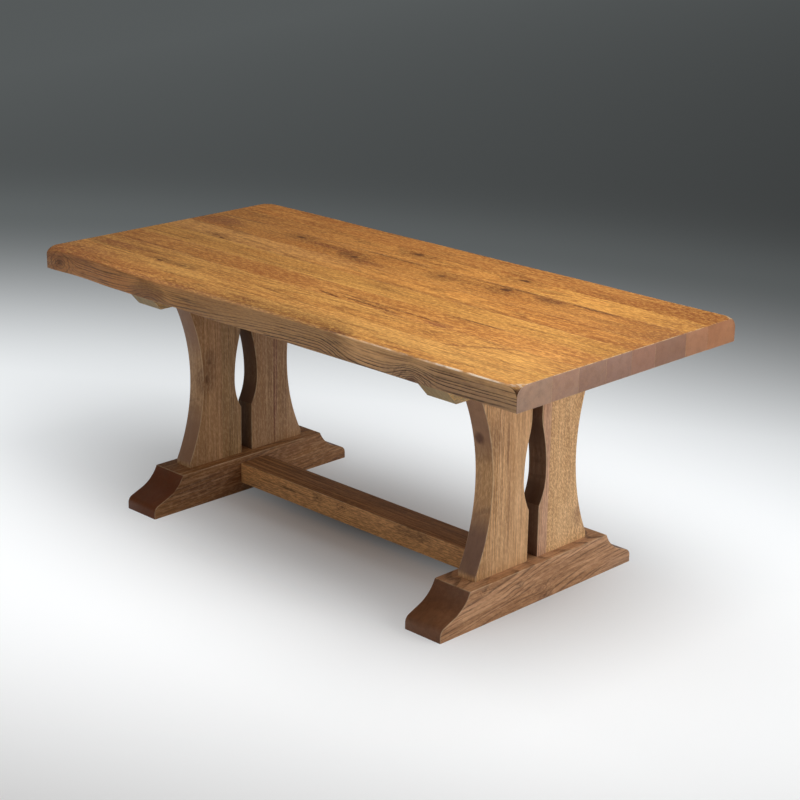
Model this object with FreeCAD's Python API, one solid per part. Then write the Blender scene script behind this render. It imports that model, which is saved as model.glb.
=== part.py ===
import FreeCAD, Part
import math
import os

from FreeCAD import Vector

# Sizes in millimetres. X runs along the table, -Y is its front, and the floor is z = 0.

# Tabletop of edge-glued planks, listed from the front edge to the back edge
top_length = 1812.0
top_thickness = 65.0
plank_widths = [139.0, 99.0, 104.0, 100.0, 94.0, 127.0, 93.0, 120.0]

# Hand-shaped long edges, from left to right: waves in from the widest line, no two neighbours alike
front_wave_depth = 14.0
front_waves = [0.0, 0.25, 0.05, 0.1, 0.43, 0.6, 0.55, 1.0]
back_wave_depth = 4.0
back_waves = [0.9, 0.3, 1.0, 0.4, 0.7, 0.1, 0.5, 0.0]
edge_round = 6.0
edge_under_round = 3.0

# Slanted facet that eases each top corner: along the table, across it, and down its height
front_corner_run = 30.0
front_corner_reach = 39.0
front_corner_drop = 27.0
back_corner_run = 24.0
back_corner_reach = 28.0
back_corner_drop = 31.0

# Trestles, which stand a little behind the middle of the top
trestle_spacing = 1150.0
trestle_back = 12.0
arris = 1.5

# Legs: a pair to each trestle, with hollow outer edges and a vase-shaped opening between them
leg_height = 516.0
leg_thickness = 62.0
leg_pair_width = 446.0
leg_slot = 41.0
leg_outer_straight = 16.0
leg_waist_depth = 56.0
opening_shoulder_height = 146.0
opening_belly_height = 235.0
opening_neck_height = 402.0
opening_belly_depth = 24.0
opening_turn_share = 0.75

# Share of each glued-up leg's width that its inner board takes, from the slot to the glue line
left_front_inner_share = 0.37
left_back_inner_share = 0.44
right_front_inner_share = 0.47
right_back_inner_share = 0.18

# Stub tenons of the legs
leg_tenon_thickness = 22.0
leg_tenon_shoulder = 25.0
foot_tenon_depth = 45.0
bearer_tenon_depth = 38.0

# Feet: a flat that carries the legs and, at each end, an ogee of a hollow, a sloping toe and a nose
foot_width = 126.0
foot_height = 110.0
foot_shoulder = 54.0
foot_hollow_run = 58.0
foot_toe_run = 51.0
foot_toe_slope = 22.0
foot_toe_height = 33.0
foot_nose_radius = 22.0

# Bearers with bevelled ends
bearer_length = 768.0
bearer_width = 102.0
bearer_height = 69.0
bearer_bevel_run = 50.0
bearer_bevel_rise = 55.0

# Stretcher, its ends tenoned into the feet
stretcher_width = 102.0
stretcher_height = 64.0
stretcher_floor_gap = 28.5
stretcher_tenon_width = 60.0
stretcher_tenon_height = 24.0
stretcher_tenon_depth = 45.0

# Lag screws and washers that hold the top down on the bearers, one near each end
screw_diameter = 10.0
screw_bite = 40.0
screw_point = 10.0
screw_head_flats = 17.0
screw_head_height = 7.0
screw_clamped_wood = 34.0
counterbore_diameter = 34.0
washer_diameter = 30.0
washer_thickness = 2.5
screw_slot_length = 18.0
screw_slot_width = 12.0

# Fits
glue_gap = 0.1
tenon_end_gap = 2.0
pilot_gap = 0.1
washer_gap = 0.2
same_place = 0.01

# Levels and lines that follow from the sizes
leg_foot_level = foot_height
leg_head_level = leg_foot_level + leg_height
top_underside = leg_head_level + bearer_height
table_height = top_underside + top_thickness
top_width = sum(plank_widths)
leg_width = (leg_pair_width - leg_slot) / 2
foot_flat_length = leg_pair_width + 2 * foot_shoulder
foot_length = foot_flat_length + 2 * (foot_hollow_run + foot_toe_run)
bearer_underside_length = bearer_length - 2 * bearer_bevel_run
screw_line = (leg_pair_width + bearer_underside_length) / 4
screw_seat_level = top_underside - screw_clamped_wood
tool_margin = 10.0

sides = {"left": -trestle_spacing / 2, "right": trestle_spacing / 2}
ranks = {"front": -1, "back": 1}
corner_cuts = {
    -1: (front_corner_run, front_corner_reach, front_corner_drop),
    1: (back_corner_run, back_corner_reach, back_corner_drop),
}
inner_shares = {
    ("left", "front"): left_front_inner_share,
    ("left", "back"): left_back_inner_share,
    ("right", "front"): right_front_inner_share,
    ("right", "back"): right_back_inner_share,
}


def block(x_span, y_span, z_span):
    size = [span[1] - span[0] for span in (x_span, y_span, z_span)]
    return Part.makeBox(size[0], size[1], size[2], Vector(x_span[0], y_span[0], z_span[0]))


def around(middle, width):
    return (middle - width / 2, middle + width / 2)


def line(start, end):
    return Part.makeLine(start, end)


def tangent_arc(tangent_end, direction, other_end):
    # Arc that follows the direction, a unit vector, at its first end
    chord = other_end - tangent_end
    normal = chord - direction * chord.dot(direction)
    normal.normalize()
    radius = chord.Length ** 2 / (2 * chord.dot(normal))
    centre = tangent_end + normal * radius
    outward = (tangent_end - centre) + (other_end - centre)
    outward.normalize()
    return Part.Arc(tangent_end, centre + outward * radius, other_end).toShape()


def extruded(edges, x_span):
    # Solid of a closed YZ outline, drawn at x = 0 and run along X
    face = Part.Face(Part.Wire(Part.__sortEdges__(edges)))
    face.translate(Vector(x_span[0], 0, 0))
    return face.extrude(Vector(x_span[1] - x_span[0], 0, 0))


def eased(solid, x_span, flat_levels):
    # Chamfers the outline on both X faces, but not where it rests on or under another piece
    edges = []
    for edge in solid.Edges:
        places = [vertex.Point for vertex in edge.Vertexes]
        on_face = any(all(abs(p.x - x) < same_place for p in places) for x in x_span)
        on_seat = any(all(abs(p.z - z) < same_place for p in places) for z in flat_levels)
        if on_face and not on_seat:
            edges.append(edge)
    return solid.makeChamfer(arris, edges)


def save(name, solids):
    shape = solids[0] if len(solids) == 1 else Part.Compound(solids)
    shape.exportStep("parts/" + name + ".step")


# Tabletop

def plank_seams():
    seams = [-top_width / 2]
    for width in plank_widths:
        seams.append(seams[-1] + width)
    return seams


def corner_facet(place):
    # Wedge that takes off the top corner at one end of a wavy edge, carried past the faces that it cuts
    x_sign = math.copysign(1, place.x)
    y_sign = math.copysign(1, place.y)
    run, reach, drop = corner_cuts[y_sign]
    m = tool_margin
    corner = Vector(-m, -m, -m)
    along = Vector(run * (1 + m / reach + m / drop), -m, -m)
    across = Vector(-m, reach * (1 + m / run + m / drop), -m)
    down = Vector(-m, -m, drop * (1 + m / run + m / reach))
    places = []
    for p in (corner, along, across, down):
        places.append(Vector(place.x - x_sign * p.x, place.y - y_sign * p.y, table_height - p.z))
    faces = []
    for left_out in range(4):
        a, b, c = [places[i] for i in range(4) if i != left_out]
        faces.append(Part.Face(Part.makePolygon([a, b, c, a])))
    wedge = Part.Solid(Part.Shell(faces))
    if wedge.Volume < 0:
        wedge.reverse()
    return wedge


def wave_edge(solid, level):
    # The long wavy edge of a plank at one level
    found = []
    for edge in solid.Edges:
        box = edge.BoundBox
        at_level = abs(box.ZMin - level) < same_place and abs(box.ZMax - level) < same_place
        if at_level and isinstance(edge.Curve, Part.Circle):
            found.append(edge)
    return found


def edge_plank(seam, edge, waves, depth):
    # Plank with one wavy edge, which runs along X at each listed wave and turns between them
    inward = math.copysign(depth, seam - edge)
    spacing = top_length / (len(waves) - 1)
    along = Vector(1, 0, 0)
    places = []
    for index, share in enumerate(waves):
        places.append(Vector(index * spacing - top_length / 2, edge + inward * share, top_underside))
    seam_start = Vector(-top_length / 2, seam, top_underside)
    seam_end = Vector(top_length / 2, seam, top_underside)
    outline = [line(places[-1], seam_end), line(seam_end, seam_start), line(seam_start, places[0])]
    for start, end in zip(places, places[1:]):
        middle = (start + end) * 0.5
        outline.append(tangent_arc(start, along, middle))
        outline.append(tangent_arc(end, along, middle))
    outline = Part.__sortEdges__(outline)
    plank = Part.Face(Part.Wire(outline)).extrude(Vector(0, 0, top_thickness))
    plank = plank.makeFillet(edge_round, wave_edge(plank, table_height))
    plank = plank.makeFillet(edge_under_round, wave_edge(plank, top_underside))
    for corner in (places[0], places[-1]):
        plank = plank.cut(corner_facet(corner))
    return plank


def inner_plank(front_seam, back_seam):
    return block(around(0, top_length), (front_seam, back_seam), (top_underside, table_height))


def screw_places():
    places = []
    for x in sides.values():
        for sign in ranks.values():
            places.append(Vector(x, sign * screw_line, screw_seat_level))
    return places


def pilot_holes():
    # Blind holes in the underside of the top for the screws' bite
    radius = screw_diameter / 2 + pilot_gap
    depth = screw_bite + pilot_gap
    holes = []
    for place in screw_places():
        start = Vector(place.x, place.y + trestle_back, top_underside - tool_margin)
        holes.append(Part.makeCylinder(radius, depth + tool_margin, start))
    return holes


def tabletop():
    seams = plank_seams()
    last = len(plank_widths)
    planks = {"front_edge_plank": edge_plank(seams[1], seams[0], front_waves, front_wave_depth)}
    for number in range(2, last):
        planks["top_plank_%d" % number] = inner_plank(seams[number - 1], seams[number])
    planks["back_edge_plank"] = edge_plank(seams[last - 1], seams[last], back_waves, back_wave_depth)
    holes = Part.Compound(pilot_holes())
    return {name: plank.cut(holes) for name, plank in planks.items()}


# Legs

def tenon_span():
    return (leg_slot / 2 + leg_tenon_shoulder, leg_pair_width / 2 - leg_tenon_shoulder)


def leg_tenons(gap, end_gap):
    # Both stub tenons of a back leg, or with gaps the mortises that take them
    y_span = (tenon_span()[0] - gap, tenon_span()[1] + gap)
    x_span = around(0, leg_tenon_thickness + 2 * gap)
    low = block(x_span, y_span, (leg_foot_level - foot_tenon_depth - end_gap, leg_foot_level))
    high = block(x_span, y_span, (leg_head_level, leg_head_level + bearer_tenon_depth + end_gap))
    return [low, high]


def leg_outline():
    # Back leg seen along X: straight ends and a hollow outside, the vase-shaped opening inside
    outer = leg_pair_width / 2
    inner = leg_slot / 2
    foot = leg_foot_level
    head = leg_head_level
    upright = Vector(0, 0, 1)
    outer_foot = Vector(0, outer, foot)
    hollow_start = Vector(0, outer, foot + leg_outer_straight)
    hollow_waist = Vector(0, outer - leg_waist_depth, (foot + head) / 2)
    hollow_end = Vector(0, outer, head - leg_outer_straight)
    outer_head = Vector(0, outer, head)
    inner_head = Vector(0, inner, head)
    neck = Vector(0, inner, foot + opening_neck_height)
    belly = Vector(0, inner + opening_belly_depth, foot + opening_belly_height)
    turn = belly + (neck - belly) * opening_turn_share
    shoulder = Vector(0, inner, foot + opening_shoulder_height)
    inner_foot = Vector(0, inner, foot)
    return [
        line(outer_foot, hollow_start),
        Part.Arc(hollow_start, hollow_waist, hollow_end).toShape(),
        line(hollow_end, outer_head),
        line(outer_head, inner_head),
        line(inner_head, neck),
        tangent_arc(neck, upright, turn),
        tangent_arc(belly, upright, turn),
        tangent_arc(belly, upright, shoulder),
        line(shoulder, inner_foot),
        line(inner_foot, outer_foot),
    ]


def back_leg():
    x_span = around(0, leg_thickness)
    leg = extruded(leg_outline(), x_span)
    leg = eased(leg, x_span, (leg_foot_level, leg_head_level))
    for tenon in leg_tenons(0, 0):
        leg = leg.fuse(tenon)
    return leg.removeSplitter()


def leg_boards(leg, inner_share):
    # The leg parted at its glue line
    glue_line = leg_slot / 2 + leg_width * inner_share
    reach = (0, top_width)
    heights = (0, table_height)
    inner_side = block(around(0, foot_width), (reach[0], glue_line), heights)
    outer_side = block(around(0, foot_width), (glue_line, reach[1]), heights)
    return {"inner_board": leg.common(inner_side), "outer_board": leg.common(outer_side)}


def placed(solid, x, rank):
    # A back piece, mirrored to the front where the rank asks for it, at its trestle
    copy = solid if rank > 0 else solid.mirror(Vector(0, 0, 0), Vector(0, 1, 0))
    copy = copy.copy()
    copy.translate(Vector(x, 0, 0))
    return copy


def legs():
    leg = back_leg()
    boards = {}
    for side, x in sides.items():
        for rank, sign in ranks.items():
            parts = leg_boards(leg, inner_shares[side, rank])
            for board, solid in parts.items():
                boards["%s_%s_leg_%s" % (side, rank, board)] = placed(solid, x, sign)
    return boards


def leg_mortises(x):
    mortises = []
    for sign in ranks.values():
        for mortise in leg_tenons(glue_gap, tenon_end_gap):
            mortises.append(placed(mortise, x, sign))
    return mortises


# Feet

def ogee_end():
    # Back end of a foot, from its flat top to the floor
    slope = math.radians(foot_toe_slope)
    toe_line = Vector(0, -math.cos(slope), math.sin(slope))
    toe_corner = Vector(0, foot_length / 2, foot_toe_height)
    nose_reach = foot_nose_radius * math.tan((math.pi / 2 - slope) / 2)
    flat_end = Vector(0, foot_flat_length / 2, foot_height)
    hollow_end = toe_corner + toe_line * (foot_toe_run / math.cos(slope))
    nose_top = toe_corner + toe_line * nose_reach
    nose_end = toe_corner - Vector(0, 0, nose_reach)
    floor_end = Vector(0, toe_corner.y, 0)
    return [
        tangent_arc(hollow_end, toe_line, flat_end),
        line(hollow_end, nose_top),
        tangent_arc(nose_end, Vector(0, 0, 1), nose_top),
        line(nose_end, floor_end),
    ]


def foot(side):
    x = sides[side]
    x_span = around(0, foot_width)
    back_end = ogee_end()
    front_end = [edge.mirror(Vector(0, 0, 0), Vector(0, 1, 0)) for edge in back_end]
    half_flat = foot_flat_length / 2
    half_floor = foot_length / 2
    flat = line(Vector(0, -half_flat, foot_height), Vector(0, half_flat, foot_height))
    sole = line(Vector(0, -half_floor, 0), Vector(0, half_floor, 0))
    solid = extruded(back_end + front_end + [flat, sole], x_span)
    solid = eased(solid, x_span, (0,))
    solid.translate(Vector(x, 0, 0))
    solid = solid.cut(Part.Compound(leg_mortises(x)))
    return solid.cut(stretcher_solid(glue_gap, tenon_end_gap))


# Stretcher

def stretcher_solid(gap, end_gap):
    # The stretcher between the feet, or with gaps the room that its tenons take in them
    half_span = (trestle_spacing - foot_width) / 2
    middle = stretcher_floor_gap + stretcher_height / 2
    tenon_reach = half_span + stretcher_tenon_depth + end_gap
    tenon = block(
        (-tenon_reach, tenon_reach),
        around(0, stretcher_tenon_width + 2 * gap),
        around(middle, stretcher_tenon_height + 2 * gap),
    )
    if gap:
        return tenon
    beam = block((-half_span, half_span), around(0, stretcher_width), around(middle, stretcher_height))
    long_edges = [edge for edge in beam.Edges if edge.BoundBox.XLength > half_span]
    return beam.makeChamfer(arris, long_edges).fuse(tenon).removeSplitter()


# Bearers

def slotted_hole(place):
    # Slot along Y that lets the top move across its width, over the counterbore for head and washer
    ends = around(0, screw_slot_length - screw_slot_width)
    height = screw_clamped_wood + tool_margin
    hole = block(around(place.x, screw_slot_width), (place.y + ends[0], place.y + ends[1]),
                 (place.z, place.z + height))
    for y in ends:
        hole = hole.fuse(Part.makeCylinder(screw_slot_width / 2, height, place + Vector(0, y, 0)))
    depth = bearer_height - screw_clamped_wood + tool_margin
    bore = Part.makeCylinder(counterbore_diameter / 2, depth, place - Vector(0, 0, depth))
    return hole.fuse(bore)


def bearer(side):
    x = sides[side]
    x_span = around(0, bearer_width)
    half = bearer_length / 2
    half_under = bearer_underside_length / 2
    bevel_level = leg_head_level + bearer_bevel_rise
    corners = [
        Vector(0, -half_under, leg_head_level),
        Vector(0, half_under, leg_head_level),
        Vector(0, half, bevel_level),
        Vector(0, half, top_underside),
        Vector(0, -half, top_underside),
        Vector(0, -half, bevel_level),
    ]
    outline = [line(corners[i - 1], corners[i]) for i in range(len(corners))]
    solid = eased(extruded(outline, x_span), x_span, (top_underside,))
    solid.translate(Vector(x, 0, 0))
    solid = solid.cut(Part.Compound(leg_mortises(x)))
    for place in screw_places():
        if place.x == x:
            solid = solid.cut(slotted_hole(place))
    return solid


# Screws and washers

def lag_screw(place):
    # Screw that points up, its head under the washer
    seat = place - Vector(0, 0, washer_thickness)
    shank_length = washer_thickness + screw_clamped_wood + screw_bite - screw_point
    radius = screw_diameter / 2
    shank = Part.makeCylinder(radius, shank_length, seat)
    point = Part.makeCone(radius, 0, screw_point, seat + Vector(0, 0, shank_length))
    corner_radius = screw_head_flats / math.sqrt(3)
    corners = []
    for step in range(7):
        angle = math.radians(60 * step)
        corners.append(seat + Vector(corner_radius * math.cos(angle), corner_radius * math.sin(angle), 0))
    head = Part.Face(Part.makePolygon(corners)).extrude(Vector(0, 0, -screw_head_height))
    return head.fuse(shank).fuse(point).removeSplitter()


def washer(place):
    seat = place - Vector(0, 0, washer_thickness)
    ring = Part.makeCylinder(washer_diameter / 2, washer_thickness, seat)
    return ring.cut(Part.makeCylinder(screw_diameter / 2 + washer_gap, washer_thickness, seat))


os.makedirs("parts", exist_ok=True)

under_top = {name: [solid] for name, solid in legs().items()}
for side in sides:
    under_top[side + "_bearer"] = [bearer(side)]
    under_top[side + "_foot"] = [foot(side)]
under_top["stretcher"] = [stretcher_solid(0, 0)]
under_top["top_fixing_screws"] = [lag_screw(place) for place in screw_places()]
under_top["top_fixing_washers"] = [washer(place) for place in screw_places()]
for name, solid in tabletop().items():
    save(name, [solid])
for name, solids in under_top.items():
    for solid in solids:
        solid.translate(Vector(0, trestle_back, 0))
    save(name, solids)
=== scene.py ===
import bpy
import bmesh
import math
from mathutils import Matrix, Vector, noise


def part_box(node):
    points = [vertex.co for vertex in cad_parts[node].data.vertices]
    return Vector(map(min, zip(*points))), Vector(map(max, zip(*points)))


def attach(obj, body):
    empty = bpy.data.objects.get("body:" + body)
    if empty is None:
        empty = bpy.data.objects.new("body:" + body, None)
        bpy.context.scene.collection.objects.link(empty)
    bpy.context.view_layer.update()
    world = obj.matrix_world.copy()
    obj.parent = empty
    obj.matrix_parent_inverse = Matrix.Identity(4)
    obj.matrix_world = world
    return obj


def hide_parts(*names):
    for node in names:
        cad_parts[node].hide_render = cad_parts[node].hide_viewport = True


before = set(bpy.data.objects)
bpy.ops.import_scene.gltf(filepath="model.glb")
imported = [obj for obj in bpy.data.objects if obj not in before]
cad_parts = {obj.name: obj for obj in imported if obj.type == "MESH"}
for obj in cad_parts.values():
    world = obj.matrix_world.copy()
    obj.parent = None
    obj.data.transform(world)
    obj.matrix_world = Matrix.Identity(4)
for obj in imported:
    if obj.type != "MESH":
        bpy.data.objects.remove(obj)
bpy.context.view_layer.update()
scene = bpy.context.scene
scene.view_settings.view_transform = 'Standard'
print("frame loaded")

# metres; X along the table, -Y the front, Z up


# node tools

def tint(code):  # sRGB hex to a linear colour
    channels = [int(code[i:i + 2], 16) / 255 for i in (0, 2, 4)]
    return tuple(c / 12.92 if c <= 0.04045 else ((c + 0.055) / 1.055) ** 2.4 for c in channels) + (1.0,)


def feed(tree, socket, value):  # a link, or a plain value
    if isinstance(value, bpy.types.NodeSocket):
        tree.links.new(value, socket)
    else:
        socket.default_value = value


def addNode(tree, kind, sockets=None, **settings):
    node = tree.nodes.new("ShaderNode" + kind)
    for name, value in settings.items():
        setattr(node, name, value)
    for name, value in (sockets or {}).items():
        feed(tree, node.inputs[name], value)
    return node


def calc(tree, operation, *values):
    node = addNode(tree, "Math", dict(enumerate(values)), operation=operation)
    return node.outputs[0]


def vectorCalc(tree, operation, *values):
    node = addNode(tree, "VectorMath", dict(enumerate(values)), operation=operation)
    return node.outputs["Value" if operation in ("LENGTH", "DOT_PRODUCT") else "Vector"]


def scaled(tree, vector, amount):
    return addNode(tree, "VectorMath", {0: vector, "Scale": amount}, operation='SCALE').outputs[0]


def firstPart(tree, vector):  # how far along the grain
    return addNode(tree, "SeparateXYZ", {0: vector}).outputs["X"]


def joined(tree, **parts):
    return addNode(tree, "CombineXYZ", parts).outputs[0]


def times(tree, first, second):
    return calc(tree, 'MULTIPLY', first, second)


def inverse(tree, value):
    return calc(tree, 'SUBTRACT', 1.0, value)


def bell(tree, squared):  # 1 at the middle, fading outwards
    return calc(tree, 'EXPONENT', times(tree, squared, -1.0))


def smoothStep(tree, value, low, high):  # 0 below low, 1 above high
    node = addNode(tree, "MapRange", {"Value": value, "From Min": low, "From Max": high},
                   interpolation_type='SMOOTHSTEP')
    return node.outputs["Result"]


def fallOff(tree, value, low, high):  # 1 below low, 0 above high
    return inverse(tree, smoothStep(tree, value, low, high))


def noiseAt(tree, vector, scale, detail=2.0, rough=0.5):  # scale is a vector: features per metre
    stretched = vectorCalc(tree, 'MULTIPLY', vector, scale)
    sockets = {"Vector": stretched, "Scale": 1.0, "Detail": detail, "Roughness": rough}
    return addNode(tree, "TexNoise", sockets).outputs


def driftAt(tree, vector, scale, detail=2.0):  # noise in every direction, about zero
    return vectorCalc(tree, 'SUBTRACT', noiseAt(tree, vector, scale, detail)["Color"], (0.5, 0.5, 0.5))


def mixColor(tree, factor, first, second, blend='MIX'):
    node = addNode(tree, "Mix", data_type='RGBA', blend_type=blend)
    for index, value in ((0, factor), (6, first), (7, second)):
        feed(tree, node.inputs[index], value)
    return node.outputs[2]


def makeGroup(name, vectors, floats, outputs):
    group = bpy.data.node_groups.new(name, "ShaderNodeTree")
    kinds = [('INPUT', "Vector", vectors), ('INPUT', "Float", floats), ('OUTPUT', "Float", outputs)]
    for way, kind, labels in kinds:
        for label in labels.split():
            group.interface.new_socket(label, in_out=way, socket_type="NodeSocket" + kind)
    return group, group.nodes.new("NodeGroupInput").outputs, group.nodes.new("NodeGroupOutput").inputs


def useGroup(tree, group, **sockets):
    node = addNode(tree, "Group", node_tree=group)
    for name, value in sockets.items():
        feed(tree, node.inputs[name], value)
    return node.outputs


def startMaterial(name):
    material = bpy.data.materials.new(name)
    material.use_nodes = True
    tree = material.node_tree
    return material, tree, tree.nodes["Principled BSDF"].inputs, addNode(tree, "TexCoord").outputs["Object"]


# oak effects; the grain vector runs along the board in its first part

ringShape = {"wobble": (1.3, 6.0, 6.0), "uneven": 0.31, "unevenness": 2.4, "early": (0.10, 0.36),
             "late": (0.92, 1.0)}


def makeRings():  # growth rings round a leaning, wandering pith
    tree, get, put = makeGroup("growthRings", "grain pith lean", "spacing wander swirl", "line tone")
    wobble = scaled(tree, driftAt(tree, get["grain"], ringShape["wobble"]), get["wander"])
    lean = scaled(tree, get["lean"], firstPart(tree, get["grain"]))
    away = vectorCalc(tree, 'SUBTRACT', vectorCalc(tree, 'ADD', get["grain"], wobble), get["pith"])
    away = vectorCalc(tree, 'MULTIPLY', vectorCalc(tree, 'SUBTRACT', away, lean), (0.0, 1.0, 1.0))
    radius = calc(tree, 'ADD', vectorCalc(tree, 'LENGTH', away), get["swirl"])
    turns = calc(tree, 'DIVIDE', radius, get["spacing"])
    uneven = addNode(tree, "TexNoise", {"W": turns, "Scale": ringShape["uneven"], "Detail": 1.0},
                     noise_dimensions='1D')
    turns = calc(tree, 'MULTIPLY_ADD', uneven.outputs[0], ringShape["unevenness"], turns)
    part = calc(tree, 'FRACT', turns)
    early = fallOff(tree, part, *ringShape["early"])
    edge = smoothStep(tree, part, *ringShape["late"])
    feed(tree, put["line"], calc(tree, 'MAXIMUM', early, edge))
    ring = addNode(tree, "TexWhiteNoise", {"W": calc(tree, 'FLOOR', turns)}, noise_dimensions='1D')
    feed(tree, put["tone"], ring.outputs["Value"])
    return tree


knotShape = {"ragged": (40.0, 90.0, 90.0), "mostRagged": 0.014, "core": (0.15, 0.5), "eye": (0.05, 0.4),
             "eyeReach": (0.9, 1.7)}


def makeKnot():  # bulges the rings, adds a core and rings of its own; chained from knot to knot
    tree, get, put = makeGroup("knot", "grain centre", "size stretch height depth eyes tail swirl core line",
                               "swirl core line")
    ragged = driftAt(tree, get["grain"], knotShape["ragged"])
    ragged = scaled(tree, ragged, calc(tree, 'MINIMUM', get["size"], knotShape["mostRagged"]))
    offset = vectorCalc(tree, 'SUBTRACT', vectorCalc(tree, 'ADD', get["grain"], ragged), get["centre"])
    behind = calc(tree, 'MINIMUM', firstPart(tree, offset), 0.0)
    longer = calc(tree, 'SUBTRACT', calc(tree, 'DIVIDE', 1.0, get["tail"]), 1.0)
    offset = vectorCalc(tree, 'ADD', offset, joined(tree, X=times(tree, behind, longer)))
    reach = joined(tree, X=times(tree, get["size"], get["stretch"]), Y=get["size"], Z=get["size"])
    far = vectorCalc(tree, 'LENGTH', vectorCalc(tree, 'DIVIDE', offset, reach))
    bulge = bell(tree, times(tree, far, far))
    feed(tree, put["swirl"], calc(tree, 'MULTIPLY_ADD', bulge, get["height"], get["swirl"]))
    dark = times(tree, fallOff(tree, far, *knotShape["core"]), get["depth"])
    feed(tree, put["core"], calc(tree, 'MAXIMUM', dark, get["core"]))
    part = calc(tree, 'FRACT', times(tree, far, get["eyes"]))
    eye = times(tree, fallOff(tree, part, *knotShape["eye"]), fallOff(tree, far, *knotShape["eyeReach"]))
    feed(tree, put["line"], calc(tree, 'MAXIMUM', eye, get["line"]))
    return tree


patchRagged = ((14.0, 60.0, 60.0), 4.0)


def makePatch():  # soft-edged area of another tone: stains, painted light and shade, stronger figure
    tree, get, put = makeGroup("tonePatch", "grain centre size", "soft slope", "mask")
    ragged = driftAt(tree, get["grain"], *patchRagged)
    offset = vectorCalc(tree, 'SUBTRACT', get["grain"], get["centre"])
    drift = times(tree, firstPart(tree, offset), get["slope"])
    offset = vectorCalc(tree, 'SUBTRACT', offset, joined(tree, Y=drift))
    offset = vectorCalc(tree, 'DIVIDE', offset, get["size"])
    far = vectorCalc(tree, 'LENGTH', vectorCalc(tree, 'ADD', offset, ragged))
    low = inverse(tree, get["soft"])
    high = calc(tree, 'ADD', 1.0, get["soft"])
    feed(tree, put["mask"], fallOff(tree, far, low, high))
    return tree


# each: scale, detail, roughness; the ranges cut marks out of the noise
grainNoise = {"pores": ((14.0, 280.0, 280.0), 3.0, 0.6), "streaks": ((3.4, 105.0, 105.0), 5.0, 0.62),
              "blotch": ((2.6, 11.0, 11.0), 3.0, 0.55), "fade": ((6.0, 26.0, 26.0), 3.0, 0.6),
              "hairs": ((1.7, 30.0, 30.0), 2.0, 0.5)}
grainRanges = {"pores": (0.53, 0.68), "flecks": (0.38, 0.62), "fade": (0.36, 0.60), "hairs": (0.008, 0.034)}
fleckNoise = (2.0, 0.6)
leastFade = 0.3


def makePores():  # open pores, long streaks, short slanting flecks, slow blotches and thin growth lines
    tree, get, put = makeGroup("openGrain", "grain dash", "slant", "pores streaks flecks blotch fade hairs")
    marks = {name: noiseAt(tree, get["grain"], *settings)[0] for name, settings in grainNoise.items()}
    feed(tree, put["pores"], smoothStep(tree, marks["pores"], *grainRanges["pores"]))
    feed(tree, put["streaks"], marks["streaks"])
    feed(tree, put["blotch"], marks["blotch"])
    slant = times(tree, firstPart(tree, get["grain"]), get["slant"])
    slanted = vectorCalc(tree, 'ADD', get["grain"], joined(tree, Y=slant, Z=slant))
    flecks = noiseAt(tree, slanted, get["dash"], *fleckNoise)[0]
    feed(tree, put["flecks"], smoothStep(tree, flecks, *grainRanges["flecks"]))
    fade = smoothStep(tree, marks["fade"], *grainRanges["fade"])
    feed(tree, put["fade"], calc(tree, 'MULTIPLY_ADD', fade, 1 - leastFade, leastFade))
    hairs = calc(tree, 'ABSOLUTE', calc(tree, 'SUBTRACT', marks["hairs"], 0.5))
    feed(tree, put["hairs"], times(tree, fallOff(tree, hairs, *grainRanges["hairs"]), fade))
    return tree


def makeEndGrain():  # how far a face cuts across the grain
    tree, get, put = makeGroup("endGrain", "axis", "low high", "mask")
    facing = vectorCalc(tree, 'DOT_PRODUCT', addNode(tree, "TexCoord").outputs["Normal"], get["axis"])
    feed(tree, put["mask"], smoothStep(tree, calc(tree, 'ABSOLUTE', facing), get["low"], get["high"]))
    return tree


wearAndHighlightShape = {"broken": ((24.0, 60.0, 60.0), 3.0), "range": (0.30, 0.58)}


def makeWearAndHighlight():  # rubbed arrises with a painted highlight on them, broken up along their length
    tree, get, put = makeGroup("edgeWearAndHighlight", "grain", "", "wearAndHighlight")
    arris = addNode(tree, "Attribute", attribute_name="arris").outputs["Fac"]
    broken = noiseAt(tree, get["grain"], *wearAndHighlightShape["broken"])[0]
    feed(tree, put["wearAndHighlight"], times(tree, arris, smoothStep(tree, broken, *wearAndHighlightShape["range"])))
    return tree


rings, knot, patch = makeRings(), makeKnot(), makePatch()
pores, endGrain, edgeWearAndHighlight = makePores(), makeEndGrain(), makeWearAndHighlight()
print("oak effects ready")


# oak finish; places in a look are in the table's own frame

grainTurns = {"x": (0, 0, 0), "y": (0, 0, math.radians(-90)), "z": (0, math.radians(90), 0)}
grainAxes = {"x": (1.0, 0.0, 0.0), "y": (0.0, 1.0, 0.0), "z": (0.0, 0.0, 1.0)}


def inGrain(along, place, turn=-1):  # sizes have a turn of 1
    x, y, z = place
    return {"x": (x, y, z), "y": (y, turn * x, z), "z": (z, y, turn * x)}[along]


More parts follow.
